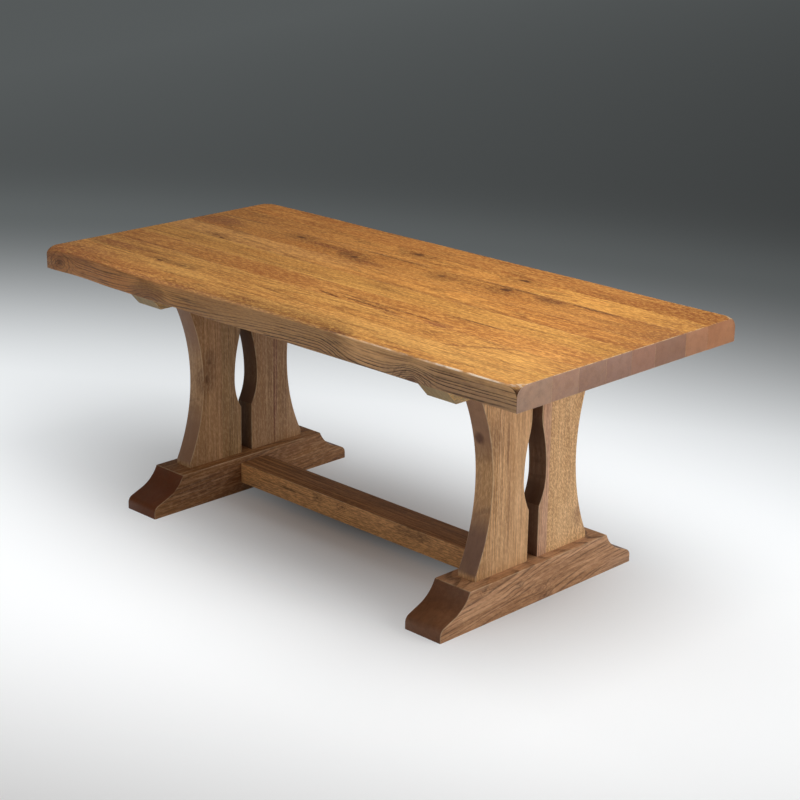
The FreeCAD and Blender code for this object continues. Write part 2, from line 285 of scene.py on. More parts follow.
# knots: place, size, stretch, height, depth, eyes and tail; figure: place, size, softness and boost
# patches, washes and ends: place, size, softness, colour and depth; washes multiply, partly stain and partly
# painted shade; patches and marks may have a slope too
# marks, thin and on the top: x, y, length, width, softness, colour and depth
oakBase = {
    "along": "x", "light": "de9849", "dark": "bc7833", "line": "6a3e1a", "pore": "864b1b",
    "gleam": "f4b860", "streak": "a4622a", "end": "94715c", "knotColor": "5a3218", "wearAndHighlightColor": "e6cca4",
    "hewnAndShadeColor": "4e3016", "lineDepth": 0.36, "hairDepth": 0.0, "poreDepth": 0.34, "fleckDepth": 0.32,
    "streakDepth": 0.46, "eyeDepth": 0.4, "wearAndHighlightDepth": 0.5, "side": "de9849", "sideToneAndLightDepth": 0.0,
    "sideFleck": -0.3, "endCloud": 0.5, "dash": (70.0, 220.0, 220.0), "slant": 0.0, "ends": [],
    "pith": (0.0, 0.0, 0.9), "lean": (0.0, 0.0, 0.0), "spacing": 0.0055, "wander": 0.02, "endLow": 0.45,
    "endHigh": 0.9, "rough": 0.42, "gloss": 0.35, "shift": 0.0, "knots": [], "patches": [], "figure": [],
    "stainAndShadeWashes": [], "marks": []}
# how the effects mix on every board
oakMix = {
    "cut": (1.0, 1.7, 0.6), "endFade": -0.85, "ringTone": 0.16, "mood": (0.34, 0.82), "streak": (0.44, 0.66),
    "paleStreak": (0.34, 0.50), "paleShare": 0.5, "side": (0.55, 0.85), "markHeight": 0.76, "markDepth": 0.02,
    "leastFleck": 0.04, "fleckGleam": (0.5, 1.0), "cloud": ((45.0, 45.0, 45.0), 4.0, 0.6),
    "cloudRange": (0.42, 0.72), "endFigure": 0.5, "endLine": 0.5, "endShare": 0.92, "poreRough": 0.16,
    "blotchRough": 0.14, "hewnAndShadeRough": 0.4, "wearAndHighlightRough": -0.2, "ringRelief": 0.3, "streakRelief": -0.8,
    "fleckRelief": -0.5, "bump": 0.3, "bumpDepth": 0.0005}


def oakMaterial(name, **changes):
    look = {**oakBase, **changes}
    mix = oakMix
    along = look["along"]
    material, tree, shader, place = startMaterial(name)
    grain = addNode(tree, "Mapping", {"Vector": place, "Rotation": grainTurns[along]}).outputs[0]
    # every board comes from another part of the tree
    cut = vectorCalc(tree, 'ADD', grain, tuple(look["shift"] * part for part in mix["cut"]))
    figure = useGroup(tree, pores, grain=cut, dash=look["dash"], slant=look["slant"])

    def paint(under, mask, share, code, blend='MIX'):
        return mixColor(tree, times(tree, mask, share), under, tint(code), blend)

    def patchMask(where, size, soft, slope=0.0):
        return useGroup(tree, patch, grain=grain, centre=inGrain(along, where), size=inGrain(along, size, 1),
                        soft=soft, slope=slope)["mask"]

    swirl, core, eye = 0.0, 0.0, 0.0
    for where, size, stretch, height, depth, eyes, *tail in look["knots"]:
        bump = useGroup(tree, knot, grain=grain, centre=inGrain(along, where), size=size, stretch=stretch,
                        height=height, depth=depth, eyes=eyes, tail=tail[0] if tail else 1.0,
                        swirl=swirl, core=core, line=eye)
        swirl, core, eye = bump["swirl"], bump["core"], bump["line"]
    ring = useGroup(tree, rings, grain=grain, pith=inGrain(along, look["pith"]),
                    lean=inGrain(along, look["lean"], 1), spacing=look["spacing"], wander=look["wander"],
                    swirl=swirl)
    across = useGroup(tree, endGrain, axis=grainAxes[along], low=look["endLow"], high=look["endHigh"])["mask"]
    lengthwise = calc(tree, 'MULTIPLY_ADD', across, mix["endFade"], 1.0)

    # ground colour, streaks and stains, with painted light and shade in the side tone, patches and washes
    mood = calc(tree, 'MULTIPLY_ADD', ring["tone"], mix["ringTone"], figure["blotch"])
    color = mixColor(tree, smoothStep(tree, mood, *mix["mood"]), tint(look["light"]), tint(look["dark"]))
    streak = smoothStep(tree, figure["streaks"], *mix["streak"])
    color = paint(color, streak, look["streakDepth"], look["streak"])
    streak = fallOff(tree, figure["streaks"], *mix["paleStreak"])
    color = paint(color, streak, look["streakDepth"] * mix["paleShare"], look["gleam"])
    # faces along Y take the side tone; on the stretcher it is painted light on the front faces
    low, high = mix["side"]
    side = useGroup(tree, endGrain, axis=grainAxes["y"], low=low, high=high)["mask"]
    color = paint(color, side, look["sideToneAndLightDepth"], look["side"])
    marks = [((x, y, mix["markHeight"]), (length, width, mix["markDepth"]), *rest)
             for x, y, length, width, *rest in look["marks"]]
    for where, size, soft, patchTone, depth, *slope in look["patches"] + marks:
        color = paint(color, patchMask(where, size, soft, *slope), depth, patchTone)
    # washes darken by multiplying: partly stain, partly painted shade
    for where, size, soft, patchTone, depth in look["stainAndShadeWashes"]:
        color = paint(color, patchMask(where, size, soft), depth, patchTone, 'MULTIPLY')

    # ring lines, flecks and pores
    depth = look["lineDepth"]
    for where, size, soft, boost in look["figure"]:
        depth = calc(tree, 'MULTIPLY_ADD', patchMask(where, size, soft), boost, depth)
    lines = times(tree, times(tree, ring["line"], depth), lengthwise)
    color = paint(color, lines, figure["fade"], look["line"])
    color = paint(color, times(tree, figure["hairs"], look["hairDepth"]), lengthwise, look["line"])
    color = paint(color, eye, look["eyeDepth"], look["line"])
    flecks = calc(tree, 'MULTIPLY_ADD', side, look["sideToneAndLightDepth"] * look["sideFleck"], look["fleckDepth"])
    flecks = calc(tree, 'MAXIMUM', times(tree, flecks, lengthwise), mix["leastFleck"])
    color = paint(color, inverse(tree, figure["flecks"]), flecks, look["pore"])
    color = paint(color, smoothStep(tree, figure["flecks"], *mix["fleckGleam"]), flecks, look["gleam"])
    color = paint(color, figure["pores"], look["poreDepth"], look["pore"])

    # end grain, knots, wear with a painted highlight, and hewn and shaded places: stain and painted shade
    endTone = mixColor(tree, times(tree, figure["blotch"], mix["endFigure"]), tint(look["end"]), color,
                       'SOFT_LIGHT')
    cloud = smoothStep(tree, noiseAt(tree, place, *mix["cloud"])[0], *mix["cloudRange"])
    endTone = mixColor(tree, times(tree, cloud, look["endCloud"]), endTone,
                       mixColor(tree, mix["endLine"], tint(look["end"]), tint(look["line"])))
    for where, size, soft, patchTone, depth in look["ends"]:
        endTone = paint(endTone, patchMask(where, size, soft), depth, patchTone)
    color = mixColor(tree, times(tree, across, mix["endShare"]), color, endTone)
    color = paint(color, core, 1.0, look["knotColor"])
    wearAndHighlight = useGroup(tree, edgeWearAndHighlight, grain=grain)["wearAndHighlight"]
    color = paint(color, wearAndHighlight, look["wearAndHighlightDepth"], look["wearAndHighlightColor"])
    hewnAndShade = addNode(tree, "Attribute", attribute_name="hewnAndShade").outputs["Fac"]
    feed(tree, shader["Base Color"], paint(color, hewnAndShade, 1.0, look["hewnAndShadeColor"]))
    shader["Specular IOR Level"].default_value = look["gloss"]

    def summed(start, *shares):
        for mask, share in shares:
            start = calc(tree, 'MULTIPLY_ADD', mask, mix[share], start)
        return start

    rough = summed(look["rough"], (figure["pores"], "poreRough"), (figure["blotch"], "blotchRough"),
                   (hewnAndShade, "hewnAndShadeRough"), (wearAndHighlight, "wearAndHighlightRough"))
    feed(tree, shader["Roughness"], rough)
    relief = summed(figure["pores"], (ring["line"], "ringRelief"), (figure["streaks"], "streakRelief"),
                    (figure["flecks"], "fleckRelief"))
    sockets = {"Height": times(tree, relief, -1.0), "Strength": mix["bump"], "Distance": mix["bumpDepth"]}
    feed(tree, shader["Normal"], addNode(tree, "Bump", sockets).outputs[0])
    return material


# mesh tools; angles in degrees

tiny = 1e-5
shadedSharp = 24


def vertsOf(parts):
    return [part for part in parts if isinstance(part, bmesh.types.BMVert)]


def lineTo(bm, vert, y, z):
    end = bm.verts.new((vert.co.x, y, z))
    bm.edges.new((vert, end))
    return end


def arcTo(bm, vert, y, z, turn, steps):  # arc in the YZ plane; a negative turn bends the other way
    end = Vector((vert.co.x, y, z))
    chord = end - vert.co
    side = Vector((1, 0, 0)).cross(chord)
    centre = (vert.co + end) / 2 + side / (2 * math.tan(turn / 2))
    made = bmesh.ops.spin(bm, geom=[vert], cent=centre, axis=(1, 0, 0), angle=turn, steps=steps)
    last = vertsOf(made["geom_last"])[0]
    last.co = end
    return last


def grow(bm, faces, thickness):  # gives an outline its thickness along X
    grown = bmesh.ops.extrude_face_region(bm, geom=faces)["geom"]
    bmesh.ops.translate(bm, verts=vertsOf(grown), vec=(thickness, 0, 0))
    bmesh.ops.recalc_face_normals(bm, faces=bm.faces[:])


def rounded(bm, edges, width, segments, clamp=False):
    return bmesh.ops.bevel(bm, geom=edges, offset=width, offset_type='OFFSET', segments=segments, profile=0.5,
                           affect='EDGES', material=-1, clamp_overlap=clamp)["faces"]


def mark(faces, layer, amount):  # for wear, stain, painted highlights and painted shade in the finish
    for face in faces:
        for loop in face.loops:
            loop[layer] = amount


def ease(bm, edges, width, segments=2):  # rounds arrises and marks them for wear and a painted highlight
    layer = bm.loops.layers.float.get("arris") or bm.loops.layers.float.new("arris")
    mark(rounded(bm, edges, width, segments, clamp=True), layer, 1.0)


def sharpEdges(bm, degrees=30):
    return [edge for edge in bm.edges if edge.is_manifold and edge.calc_face_angle(0) > math.radians(degrees)]


def lies(edge, axis, value):  # both ends of an edge in one plane
    return all(abs(vert.co[axis] - value) < tiny for vert in edge.verts)


def everything(bm):
    return bm.verts[:] + bm.edges[:] + bm.faces[:]


def cutAway(bm, place, normal):  # removes what lies on the normal's side and closes the cut
    made = bmesh.ops.bisect_plane(bm, geom=everything(bm), dist=0.1 * tiny, plane_co=place, plane_no=normal,
                                  clear_outer=True)
    rim = [part for part in made["geom_cut"] if isinstance(part, bmesh.types.BMEdge)]
    bmesh.ops.edgeloop_fill(bm, edges=rim)
    bmesh.ops.recalc_face_normals(bm, faces=bm.faces[:])


def corners(node):
    low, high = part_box(node)
    return Vector(low), Vector(high)


def toObject(bm, name, material):
    mesh = bpy.data.meshes.new(name)
    bm.to_mesh(mesh)
    bm.free()
    mesh.materials.append(material)
    made = bpy.data.objects.new(name, mesh)
    scene.collection.objects.link(made)
    return made


def finishPiece(bm, node, look):
    for face in bm.faces:
        face.smooth = True
    for edge in sharpEdges(bm, shadedSharp):
        edge.smooth = False
    piece = toObject(bm, node + "_oak", oakMaterial(node + "_finish", **look))
    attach(piece, "root")
    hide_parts(node)


# tabletop

plankLooks = {
    "front_edge_plank": {
        "light": "e7ac5c", "dark": "c3833d", "shift": 1.3, "pith": (0.0, -0.4, 0.4),
        "lean": (0.0, 0.0, 0.012), "spacing": 0.0092, "wander": 0.01, "lineDepth": 0.22, "line": "3a2412",
        # its pale arris line is wear with a painted highlight
        "end": "a48979", "wearAndHighlightDepth": 0.8, "wearAndHighlightColor": "ffeed6", "side": "d6aa7a", "sideToneAndLightDepth": 0.75,
        "eyeDepth": 0.5,
        "knots": [
            ((0.574, -0.43, 0.694), 0.036, 1.5, -0.045, 0.8, 2.6),
            ((0.235, -0.434, 0.7), 0.08, 1.2, -0.052, 0.0, 0.0, 5.0),
            ((-0.845, -0.436, 0.722), 0.036, 1.2, -0.05, 0.6, 2.4),
            ((-0.43, -0.436, 0.705), 0.034, 1.8, -0.03, 0.1, 0.0)],
        # washes darken parts of the front face: partly stain, partly painted shade, deepest at the right end
        "stainAndShadeWashes": [
            ((0.75, -0.44, 0.7), (0.36, 0.05, 0.045), 0.35, "d4d6e3", 1.0),
            ((-0.68, -0.44, 0.7), (0.3, 0.05, 0.045), 0.35, "e4d6d2", 1.0),
            ((-0.45, -0.42, 0.765), (0.34, 0.05, 0.022), 0.4, "f4eaea", 1.0),
            ((-0.9, -0.38, 0.77), (0.22, 0.08, 0.045), 0.4, "e8e4f6", 1.0)],
        "figure": [
            ((0.72, -0.428, 0.712), (0.27, 0.05, 0.036), 0.3, 0.85),
            ((0.23, -0.43, 0.712), (0.22, 0.05, 0.036), 0.3, 0.9),
            ((-0.5, -0.436, 0.712), (0.5, 0.05, 0.036), 0.3, 0.5)],
        "patches": [
            # the first patch lightens the middle of the front face: painted light where its waves turn from
            # the lamps
            ((0.05, -0.434, 0.722), (0.34, 0.02, 0.05), 0.6, "f6bc80", 0.8),
            ((-0.5, -0.436, 0.722), (0.36, 0.02, 0.05), 0.6, "dc9c58", 0.7),
            ((-0.885, -0.43, 0.725), (0.05, 0.05, 0.05), 0.5, "84492a", 0.35),
            ((-0.78, -0.4, 0.76), (0.26, 0.06, 0.03), 0.7, "b06a34", 0.6)],
        "marks": [
            (-0.08, -0.383, 0.06, 0.012, 0.6, "96562a", 0.6),
            (-0.51, -0.407, 0.06, 0.006, 0.5, "8a4a26", 0.6, 0.15),
            (-0.3, -0.423, 0.09, 0.006, 0.5, "8a4a26", 0.6),
            (0.29, -0.418, 0.05, 0.01, 0.5, "763e22", 0.85),
            (0.5, -0.408, 0.05, 0.005, 0.5, "7c4424", 0.75),
            (0.6, -0.406, 0.04, 0.004, 0.5, "84502c", 0.7)]},
    "top_plank_2": {
        "light": "e6ab58", "dark": "c3843e", "shift": 2.1, "pith": (0.0, -0.26, 0.6),
        "lean": (0.0, 0.02, 0.015), "end": "a08273",
        "knots": [
            ((-0.562, -0.292, 0.76), 0.02, 1.8, 0.01, 0.75, 0.0),
            ((-0.462, -0.286, 0.76), 0.018, 2.2, 0.008, 0.65, 0.0)],
        "patches": [((-0.79, -0.262, 0.76), (0.11, 0.024, 0.03), 0.5, "985430", 0.65)],
        "marks": [
            (0.275, -0.206, 0.04, 0.006, 0.5, "8a4e28", 0.7),
            (0.585, -0.282, 0.035, 0.008, 0.6, "86502a", 0.7, 0.4),
            (0.66, -0.236, 0.045, 0.009, 0.6, "86502a", 0.7, 0.6)]},
    "top_plank_3": {
        "light": "de9a4f", "dark": "ba7834", "shift": 3.7, "pith": (0.0, -0.166, 0.728),
        "lean": (0.0, -0.01, 0.107), "spacing": 0.0065, "wander": 0.01, "lineDepth": 0.2, "end": "94786a",
        "figure": [((0.2, -0.165, 0.76), (0.2, 0.04, 0.04), 0.4, 0.45)],
        "patches": [((-0.24, -0.155, 0.76), (0.17, 0.038, 0.03), 0.6, "a8622c", 0.6)],
        "marks": [
            (0.172, -0.182, 0.11, 0.0055, 0.3, "6e3d1a", 1.0, -0.07),
            (0.25, -0.188, 0.026, 0.007, 0.5, "7c4722", 0.8, -0.1),
            (0.26, -0.164, 0.23, 0.0045, 0.4, "7c4722", 0.9, -0.03),
            (0.03, -0.186, 0.044, 0.0055, 0.3, "6e3d1a", 1.0, -0.15),
            (0.48, -0.099, 0.1, 0.0045, 0.4, "5c3214", 0.95),
            (-0.74, -0.187, 0.15, 0.006, 0.5, "8c5028", 0.75),
            (0.43, -0.186, 0.05, 0.011, 0.5, "8c4e30", 0.8)]},
    "top_plank_4": {
        "light": "e0a551", "dark": "c2843b", "shift": 4.9, "pith": (0.0, -0.03, 0.52),
        "lean": (0.0, 0.015, 0.0), "end": "94776c"},
    "top_plank_5": {
        "light": "de9848", "dark": "ba7632", "shift": 6.2, "pith": (0.0, 0.06, 0.55),
        "lean": (0.0, -0.02, 0.02), "end": "997666",
        "knots": [
            ((-0.69, 0.024, 0.76), 0.018, 2.2, 0.01, 0.8, 0.0),
            ((-0.646, 0.01, 0.76), 0.016, 2.2, 0.008, 0.8, 0.0)],
        "patches": [((-0.64, 0.06, 0.76), (0.5, 0.06, 0.03), 0.5, "f0b870", 0.35)],
        "marks": [(0.27, 0.012, 0.46, 0.008, 0.5, "9a5c28", 0.45)]},
    "top_plank_6": {
        "light": "d29045", "dark": "b8722e", "shift": 7.4, "pith": (0.0, 0.15, 0.62),
        "lean": (0.0, 0.03, 0.02), "spacing": 0.005, "end": "917160",
        "knots": [
            ((-0.26, 0.15, 0.76), 0.05, 1.5, 0.03, 0.5, 3.0),
            ((-0.215, 0.143, 0.76), 0.03, 1.6, 0.006, 0.9, 0.0),
            ((-0.49, 0.19, 0.76), 0.022, 2.4, 0.01, 0.85, 0.0),
            ((0.323, 0.197, 0.76), 0.042, 1.1, 0.01, 0.95, 0.0),
            ((0.105, 0.172, 0.76), 0.032, 1.5, 0.01, 0.65, 0.0)],
        "patches": [
            ((-0.82, 0.155, 0.76), (0.09, 0.045, 0.03), 0.5, "8a4c30", 0.65),
            ((0.88, 0.165, 0.76), (0.05, 0.03, 0.03), 0.5, "945c30", 0.5)],
        "marks": [
            (-0.33, 0.175, 0.11, 0.016, 0.6, "7e4020", 0.8),
            (-0.15, 0.125, 0.07, 0.018, 0.6, "864824", 0.75),
            (0.475, 0.2, 0.06, 0.017, 0.5, "6a3818", 0.95),
            (0.62, 0.214, 0.08, 0.006, 0.5, "57321a", 0.9),
            (0.345, 0.219, 0.1, 0.0045, 0.5, "5f381c", 0.9),
            (-0.11, 0.217, 0.13, 0.005, 0.5, "74461f", 0.85, -0.04),
            (-0.8, 0.221, 0.1, 0.004, 0.5, "74461f", 0.7)]},
    "top_plank_7": {
        "light": "da9345", "dark": "b87532", "shift": 8.8, "pith": (0.0, 0.28, 0.58),
        "lean": (0.0, -0.01, -0.02), "end": "a57a60",
        "knots": [
            ((-0.108, 0.3, 0.76), 0.032, 1.8, 0.01, 0.85, 0.0),
            ((0.296, 0.305, 0.76), 0.026, 2.4, 0.01, 0.9, 0.0)],
        "patches": [((1.43, 0.27, 0.76), (1.0, 3.0, 3.0), 0.04, "ecae54", 0.6)],
        "marks": [(0.05, 0.315, 0.13, 0.004, 0.5, "86502a", 0.7)]},
    "back_edge_plank": {
        "light": "cc863f", "dark": "ae692c", "shift": 9.5, "pith": (0.0, 0.36, 0.55),
        "lean": (0.0, 0.01, 0.02), "end": "a87958"},
}
leftStainAndShade = ((-1.25, 0.0, 0.76), (1.0, 3.0, 3.0), 0.55, "c0703a", 0.12)  # the stain is redder and darker to the left, partly painted shade
rightStainAndShade = ((1.20, 0.25, 0.76), (0.50, 0.60, 3.0), 0.30, "d3cbb1", 1.0)  # and deeper at the right end: stain with painted shade
topLines = 0.38

# hand-shaped edges: x, how far the round runs over the top, how far down the edge
frontRounds = [(-0.906, 0.038, 0.023), (-0.85, 0.020, 0.012), (-0.79, 0.010, 0.008), (-0.64, 0.012, 0.008),
               (-0.50, 0.026, 0.011), (-0.38, 0.034, 0.013), (-0.24, 0.020, 0.010), (-0.08, 0.008, 0.006),
               (0.12, 0.005, 0.005), (0.876, 0.0045, 0.0045)]
backRounds = [(-0.906, 0.030, 0.031), (-0.88, 0.008, 0.008), (0.87, 0.008, 0.008)]
topEdges = {
    "seam": 0.0004, "seamSharp": 60, "endRound": 0.0010, "endSharp": 40, "round": 0.020, "roundSteps": 10,
    "underRound": 0.003, "underSteps": 3, "cuts": 96, "handWork": 0.0006, "handReach": 0.03, "handEnd": 0.04,
    "ripple": (16, 30, 3.1), "corner": 0.0035, "cornerNear": 0.001, "cornerStainAndShade": 0.5, "scoopStainAndShade": 0.2,
    "scoopFrom": 0.004, "scoopDepth": 0.013, "wearAndHighlightDepth": 0.0032, "wearAndHighlightFrom": 0.26, "wearAndHighlightRun": 0.45,
    "cornerSteps": [0.0, 0.25, 0.45, 0.62, 0.76, 0.87]}
# outward side, waves in from the widest line, rounds, and the corner scoop's run, reach and drop
longEdges = {
    "front_edge_plank": {
        "outward": -1, "depth": 0.014, "rounds": frontRounds, "corner": (0.030, 0.039, 0.028),
        "waves": [0.02, 0.5, 0.05, 0.0, 0.25, 0.0, 0.3, 0.43, 0.5, 0.62, 0.58, 0.75, 1.0]},
    "back_edge_plank": {
        "outward": 1, "depth": 0.004, "rounds": backRounds, "corner": (0.026, 0.028, 0.031),
        "waves": [0.9, 0.3, 1.0, 0.4, 0.7, 0.1, 0.5, 0.0]},
}


def waveAt(waves, share):  # runs straight at each listed wave and turns halfway between them
    step = min(share * (len(waves) - 1), len(waves) - 1.0001)
    first, t = int(step), step - int(step)
    blend = 2 * t * t if t < 0.5 else 1 - 2 * (1 - t) ** 2
    return waves[first] + (waves[first + 1] - waves[first]) * blend


def boxMesh(low, high):
    bm = bmesh.new()
    bmesh.ops.create_cube(bm, size=1.0)
    bmesh.ops.scale(bm, vec=high - low, verts=bm.verts)
    bmesh.ops.translate(bm, vec=(low + high) / 2, verts=bm.verts)
    return bm


def atLimits(edge, axis, low, high):
    return lies(edge, axis, low[axis]) or lies(edge, axis, high[axis])


def innerPlank(node):
    low, high = corners(node)
    bm = boxMesh(low, high)
    ends = [edge for edge in bm.edges if atLimits(edge, 0, low, high) and atLimits(edge, 2, low, high)]
    ease(bm, ends, topEdges["endRound"])
    ease(bm, sharpEdges(bm, topEdges["seamSharp"]), topEdges["seam"], segments=1)
    return bm


def roundAt(rounds, corner, x, end):  # reach over the top, drop down the edge; a scoop at the right corner
    run, reach, drop = corner
    start = end - run
    if x > start:
        t = min((x - start) / run, 1.0)
        last = rounds[-1]
        return last[1] + (reach - last[1]) * t, last[2] + (drop - last[2]) * (1 - math.sqrt(1 - t * t))
    for first, second in zip(rounds, rounds[1:]):
        if x <= second[0]:
            t = (x - first[0]) / (second[0] - first[0])
            t = t * t * (3 - 2 * t)
            return tuple(first[i] + (second[i] - first[i]) * t for i in (1, 2))
    return rounds[-1][1:]


def edgePlank(node, outward, depth, rounds, corner, waves):
    s = topEdges
    low, high = corners(node)
    bm = boxMesh(low, high)
    rim = low.y if outward < 0 else high.y
    start = high.x - corner[0]
    cuts = [low.x + (start - low.x) * i / s["cuts"] for i in range(1, s["cuts"])]
    cuts += [start + corner[0] * step for step in s["cornerSteps"]]
    for x in cuts:
        bmesh.ops.bisect_plane(bm, geom=everything(bm), plane_co=(x, 0, 0), plane_no=(1, 0, 0))

    def rimAt(x):
        return rim - outward * depth * waveAt(waves, (x - low.x) / (high.x - low.x))

    def insetOf(vert):  # how far behind the edge
        return outward * (rimAt(vert.co.x) - vert.co.y)

    def rimEdges(level, near):
        return [edge for edge in bm.edges if lies(edge, 2, level)
                and all(abs(insetOf(vert)) < near for vert in edge.verts)]

    for vert in bm.verts:
        if abs(vert.co.y - rim) < tiny:
            vert.co.y = rimAt(vert.co.x)
    width = s["round"]
    rounded(bm, rimEdges(high.z, tiny), width, s["roundSteps"])
    rounded(bm, rimEdges(low.z, 10 * tiny), s["underRound"], s["underSteps"])
    # the round grows and shrinks along the edge, with slight hand work on it
    hewnAndShade = bm.loops.layers.float.new("hewnAndShade")
    arris = bm.loops.layers.float.new("arris")
    roundVerts = set()
    for vert in bm.verts:
        inset, sink = insetOf(vert), high.z - vert.co.z
        if inset < width + tiny and sink < width + tiny and (inset < width - tiny or sink < tiny):
            reach, drop = roundAt(rounds, corner, vert.co.x, high.x)
            vert.co.y = rimAt(vert.co.x) - outward * inset * reach / width
            vert.co.z = high.z - sink * drop / width
            roundVerts.add(vert)
    for face in bm.faces:
        if all(vert in roundVerts for vert in face.verts):
            for loop in face.loops:
                x, sink = loop.vert.co.x, high.z - loop.vert.co.z
                # the corner scoop darkens further down: stain with painted shade
                if x > start + s["scoopFrom"]:
                    loop[hewnAndShade] = min(s["scoopStainAndShade"] + sink / s["scoopDepth"], 1.0)
                # the arris mark fades in towards the right end: wear with a painted highlight
                if sink <= s["wearAndHighlightDepth"]:
                    loop[arris] = min(max((x - s["wearAndHighlightFrom"]) / s["wearAndHighlightRun"], 0.0), 1.0)
    alongX, alongZ, where = s["ripple"]
    for vert in bm.verts:
        x, z = vert.co.x, vert.co.z
        between = low.z + 10 * tiny < z < high.z - 10 * tiny and abs(x) < high.x - s["handEnd"]
        if between and insetOf(vert) < s["handReach"]:
            ripple = noise.noise(Vector((x * alongX, z * alongZ, where)))
            vert.co.y -= outward * s["handWork"] * (1 + ripple)
    bmesh.ops.recalc_face_normals(bm, faces=bm.faces[:])
    upright = [edge for edge in bm.edges if atLimits(edge, 0, low, high)
               and all(insetOf(vert) < s["cornerNear"] for vert in edge.verts)]
    # the upright corner's bevel is darkened: stain with painted shade
    mark(rounded(bm, upright, s["corner"], segments=2, clamp=True), hewnAndShade, s["cornerStainAndShade"])
    ends = [edge for edge in sharpEdges(bm, s["endSharp"]) if atLimits(edge, 0, low, high)]
    ease(bm, ends, s["endRound"])
    bmesh.ops.remove_doubles(bm, verts=bm.verts[:], dist=2 * tiny)  # eased corners leave doubles
    return bm


for node, look in plankLooks.items():
    bm = edgePlank(node, **longEdges[node]) if node in longEdges else innerPlank(node)
    look = {"hairDepth": topLines, **look, "patches": [leftStainAndShade] + look.get("patches", []),
            "stainAndShadeWashes": [rightStainAndShade] + look.get("stainAndShadeWashes", [])}
    finishPiece(bm, node, look)
print("tabletop done")


# legs

legShape = {"thickness": 0.062, "pairWidth": 0.446, "slot": 0.041, "low": 0.110, "high": 0.626,
            "straight": 0.016, "waist": 0.056, "shoulder": 0.146, "belly": 0.235, "neck": 0.402,
            "bellyDepth": 0.024, "turnShare": 0.75, "arris": 0.0018, "slotShade": 0.72, "slotMargin": 0.002,
            "slotFacing": 0.3, "waistSteps": 40, "neckSteps": 8, "bellySteps": 12, "shoulderSteps": 16}
legLook = {
    "along": "z", "light": "e9b885", "dark": "c89764", "line": "6a4426", "end": "95735a", "pore": "7e5630",
    "gleam": "f0c898", "streak": "a87c50", "endLow": 0.06, "endHigh": 0.28, "fleckDepth": 0.16,
    "streakDepth": 0.55, "endCloud": 0.35, "hewnAndShadeColor": "4a2c14", "wearAndHighlightDepth": 0.4,
    "dash": (70.0, 210.0, 210.0), "slant": 0.12}
legLooks = {
    # the left trestle's boards take darker tones than the right's: partly their own tone, partly painted
    # shade
    "left_front_leg_outer_board": {
        "shift": 11.0, "pith": (-0.58, -0.8, 0.0), "light": "bb9065", "dark": "9e764e",
        "knots": [
            ((-0.544, -0.143, 0.373), 0.026, 1.3, 0.014, 0.6, 0.0),
            ((-0.544, -0.13, 0.426), 0.018, 1.6, 0.008, 0.5, 0.0)]},
    "left_front_leg_inner_board": {
        "shift": 12.2, "pith": (-0.58, -0.7, 0.0), "light": "b5905f", "dark": "8e6b40", "spacing": 0.0085,
        "lineDepth": 0.7, "line": "5a3f26"},
    "left_back_leg_outer_board": {
        "shift": 13.1, "pith": (-0.58, 0.9, 0.0), "light": "ac8561", "dark": "8c6948", "spacing": 0.008,
        "lineDepth": 0.45,
        "patches": [
            ((-0.544, 0.126, 0.33), (0.02, 0.0028, 0.25), 0.4, "703a32", 0.75),
            ((-0.544, 0.135, 0.36), (0.02, 0.0026, 0.2), 0.4, "703a32", 0.7),
            ((-0.544, 0.118, 0.22), (0.02, 0.012, 0.09), 0.6, "7e4c3c", 0.6)]},
    "left_back_leg_inner_board": {
        "shift": 14.9, "pith": (-0.58, 0.75, 0.0), "light": "ac8561", "dark": "8c6948"},
    "right_front_leg_outer_board": {
        "shift": 15.3, "pith": (0.58, -0.85, 0.0), "spacing": 0.0092, "lineDepth": 0.6, "fleckDepth": 0.2,
        "ends": [((0.575, -0.185, 0.2), (0.06, 0.06, 0.13), 0.6, "6c4d42", 0.7)],
        "knots": [((0.566, -0.166, 0.485), 0.046, 1.1, 0.01, 0.92, 0.0)]},
    "right_front_leg_inner_board": {
        "shift": 16.8, "pith": (0.66, -0.115, 0.0), "lean": (-0.05, 0.02, 0.0), "lineDepth": 0.2,
        "patches": [
            ((0.606, -0.1, 0.46), (0.02, 0.005, 0.07), 0.5, "805432", 0.7),
            ((0.606, -0.09, 0.26), (0.02, 0.004, 0.12), 0.5, "8a5e3a", 0.6)]},
    "right_back_leg_outer_board": {
        "shift": 17.7, "pith": (0.7, 0.1, 0.0), "light": "eec08c", "dark": "d4a26c", "fleckDepth": 0.42,
        "lineDepth": 0.08, "dash": (85.0, 330.0, 330.0), "slant": 0.3, "pore": "9a6634", "gleam": "ffd8a0",
        "patches": [((0.606, 0.196, 0.187), (0.02, 0.02, 0.03), 0.7, "9a6c48", 0.6)]},
    "right_back_leg_inner_board": {
        "shift": 18.4, "pith": (0.58, 0.8, 0.0), "light": "d8a88a", "dark": "b4866a", "lineDepth": 0.4},
}
footLow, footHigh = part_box("left_foot")
trestleBack = (footLow[1] + footHigh[1]) / 2


